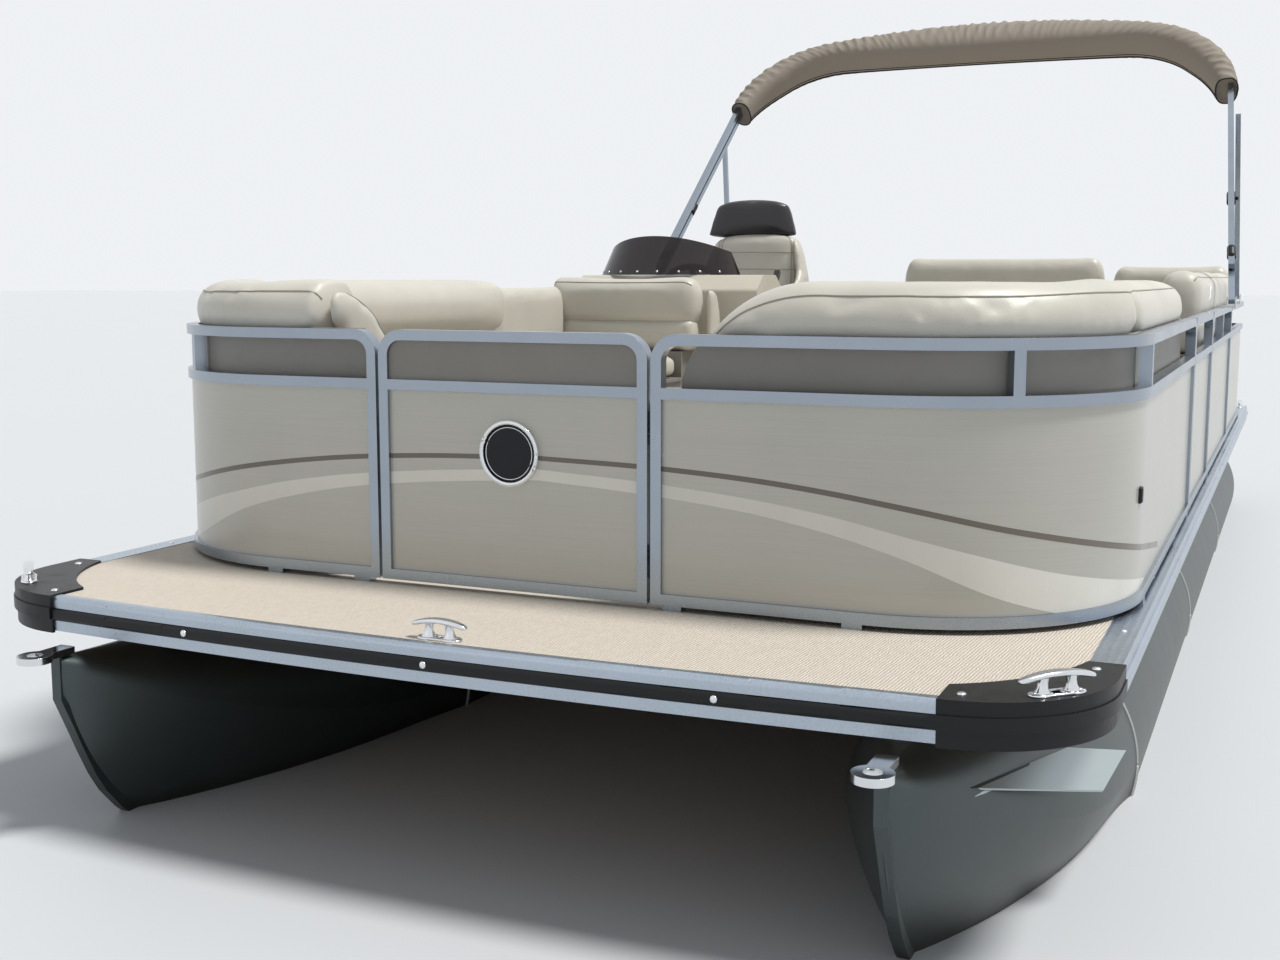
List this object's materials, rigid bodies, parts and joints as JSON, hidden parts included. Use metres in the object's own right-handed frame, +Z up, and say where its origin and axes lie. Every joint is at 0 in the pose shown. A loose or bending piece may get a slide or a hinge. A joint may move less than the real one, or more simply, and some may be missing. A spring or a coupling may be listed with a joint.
{
  "type": "pontoon boat",
  "caption": "Pontoon boat afloat: aluminium tubes with pointed nosecones, fenced deck with gates, lounges, helm console and chair, stowed canopy and outboard motor.",
  "frame": {"origin": "on the waterline, below the middle of the deck's bow edge", "axes": "+X to port, +Y aft, +Z up"},
  "size_m": [2.6354, 7.7209, 3.0173],
  "materials": {
    "pontoon_metal": "satin",
    "frame_metal": "satin",
    "rail_metal": "brushed",
    "trim_metal": "brushed",
    "deck_wood": "matte",
    "floor_weave": "matte",
    "black_rubber": "matte",
    "panel_skin": "satin",
    "bright_metal": "polished",
    "seat_shell": "matte",
    "lid_plastic": "matte",
    "seat_vinyl": "soft",
    "dark_vinyl": "soft",
    "console_shell": "satin",
    "dash_plastic": "satin",
    "smoked_screen": "gloss",
    "canvas": "matte",
    "wheel_rim": "satin",
    "motor_paint": "gloss",
    "bracket_paint": "satin",
    "engine_block": "rough",
    "screw_paint": "gloss",
    "badge_plastic": "gloss",
    "seat_post": "satin"
  },
  "bodies": {
    "hull": {"backs_aft": "seat_vinyl", "backs_bow_port": "seat_vinyl", "backs_bow_starboard": "seat_vinyl", "bimini_mounts": "black_rubber", "bow_bumpers": "black_rubber", "chair_pedestal": "seat_post", "cleats": "bright_metal", "console_body": "console_shell", "cushions_fixed": "seat_vinyl", "dash": "dash_plastic", "deck_board": "deck_wood", "deck_floor": "floor_weave", "deck_trim": "trim_metal", "fence_port": "rail_metal", "fence_starboard": "rail_metal", "ladder_brackets": "frame_metal", "motor_bracket": "bracket_paint", "motor_pod": "pontoon_metal", "nosecone_port": "pontoon_metal", "nosecone_starboard": "pontoon_metal", "panels_port": "panel_skin", "panels_starboard": "panel_skin", "pontoon_port": "pontoon_metal", "pontoon_starboard": "pontoon_metal", "seat_base_aft": "seat_shell", "seat_base_bow_port": "seat_shell", "seat_base_bow_starboard": "seat_shell", "tow_eyes": "bright_metal", "underframe": "frame_metal", "windscreen": "smoked_screen"},
    "bow_gate": {"bow_gate_frame": "rail_metal", "bow_gate_panel": "panel_skin", "bow_gate_infill": "seat_shell", "gate_badge": "badge_plastic"},
    "side_gate": {"side_gate_frame": "rail_metal", "side_gate_panel": "panel_skin"},
    "stern_gate": {"stern_gate_frame": "rail_metal", "stern_gate_panel": "panel_skin"},
    "bow_port_lid": {"lid_bow_port": "lid_plastic", "cushion_bow_port": "seat_vinyl"},
    "bow_starboard_lid": {"lid_bow_starboard": "lid_plastic", "cushion_bow_starboard": "seat_vinyl"},
    "aft_port_lid": {"lid_aft_port": "lid_plastic", "cushion_aft_port": "seat_vinyl"},
    "chair": {"chair_swivel": "seat_post", "chair_seat": "seat_vinyl", "chair_back": "seat_vinyl", "chair_headrest": "dark_vinyl"},
    "helm": {"helm_wheel": "wheel_rim"},
    "motor_tilt_part": {"motor_swivel": "bracket_paint"},
    "motor": {"motor_leg": "motor_paint", "motor_cowl": "motor_paint", "motor_engine": "engine_block"},
    "screw": {"propeller": "screw_paint"},
    "bimini": {"bimini_bows": "rail_metal", "bimini_boot": "canvas"},
    "braces": {"bimini_braces": "rail_metal"},
    "ladder_top": {"ladder_upper": "frame_metal"},
    "ladder_foot": {"ladder_lower": "frame_metal"}
  },
  "joints": [
    {"name": "bow_gate_hinge", "type": "hinge", "parent": "hull", "child": "bow_gate", "pos_m": [0.278, 0.521, 0.8], "axis": [0, 0, -1], "range_deg": [0, 90]},
    {"name": "side_gate_hinge", "type": "hinge", "parent": "hull", "child": "side_gate", "pos_m": [1.239, 2.396, 0.8], "axis": [0, 0, 1], "range_deg": [0, 90]},
    {"name": "stern_gate_hinge", "type": "hinge", "parent": "hull", "child": "stern_gate", "pos_m": [-1.089, 6.114, 0.8], "axis": [0, 0, -1], "range_deg": [0, 90]},
    {"name": "bow_port_lid_hinge", "type": "hinge", "parent": "hull", "child": "bow_port_lid", "pos_m": [1.0555, 1.65, 0.98], "axis": [0, 1, 0], "range_deg": [0, 75]},
    {"name": "bow_starboard_lid_hinge", "type": "hinge", "parent": "hull", "child": "bow_starboard_lid", "pos_m": [-1.0555, 1.9, 0.98], "axis": [0, -1, 0], "range_deg": [0, 75]},
    {"name": "aft_port_lid_hinge", "type": "hinge", "parent": "hull", "child": "aft_port_lid", "pos_m": [1.0555, 4.4, 0.98], "axis": [0, 1, 0], "range_deg": [0, 75]},
    {"name": "chair_turn", "type": "hinge", "parent": "hull", "child": "chair", "pos_m": [-0.86, 4.11, 0.85], "axis": [0, 0, 1], "continuous": true},
    {"name": "helm_turn", "type": "hinge", "parent": "hull", "child": "helm", "pos_m": [-0.86, 3.61, 1.183], "axis": [0, 0.8192, 0.5736], "range_deg": [-545, 545]},
    {"name": "motor_tilt", "type": "hinge", "parent": "hull", "child": "motor_tilt_part", "pos_m": [0, 6.825, 0.545], "axis": [1, 0, 0], "range_deg": [0, 66]},
    {"name": "motor_steer", "type": "hinge", "parent": "motor_tilt_part", "child": "motor", "pos_m": [0, 7.025, 0.3], "axis": [0, 0, 1], "range_deg": [-30, 30]},
    {"name": "screw_spin", "type": "hinge", "parent": "motor", "child": "screw", "pos_m": [0, 7.41, -0.235], "axis": [0, 1, 0], "continuous": true},
    {"name": "bimini_fold", "type": "hinge", "parent": "hull", "child": "bimini", "pos_m": [0, 4.06, 1.185], "axis": [1, 0, 0], "range_deg": [-31, 46]},
    {"name": "brace_fold", "type": "hinge", "parent": "hull", "child": "braces", "pos_m": [0, 5.1, 1.185], "axis": [-1, 0, 0], "range_deg": [0, 85]},
    {"name": "ladder_swing", "type": "hinge", "parent": "hull", "child": "ladder_top", "pos_m": [-0.86, 6.774, 0.5655], "axis": [-1, 0, 0], "range_deg": [0, 180]},
    {"name": "ladder_unfold", "type": "hinge", "parent": "ladder_top", "child": "ladder_foot", "pos_m": [-0.86, 6.756, 1.0855], "axis": [-1, 0, 0], "range_deg": [0, 180]}
  ],
  "couplings": [
    {"joint": "helm_turn", "follows": "motor_steer", "ratio": -18}
  ]
}
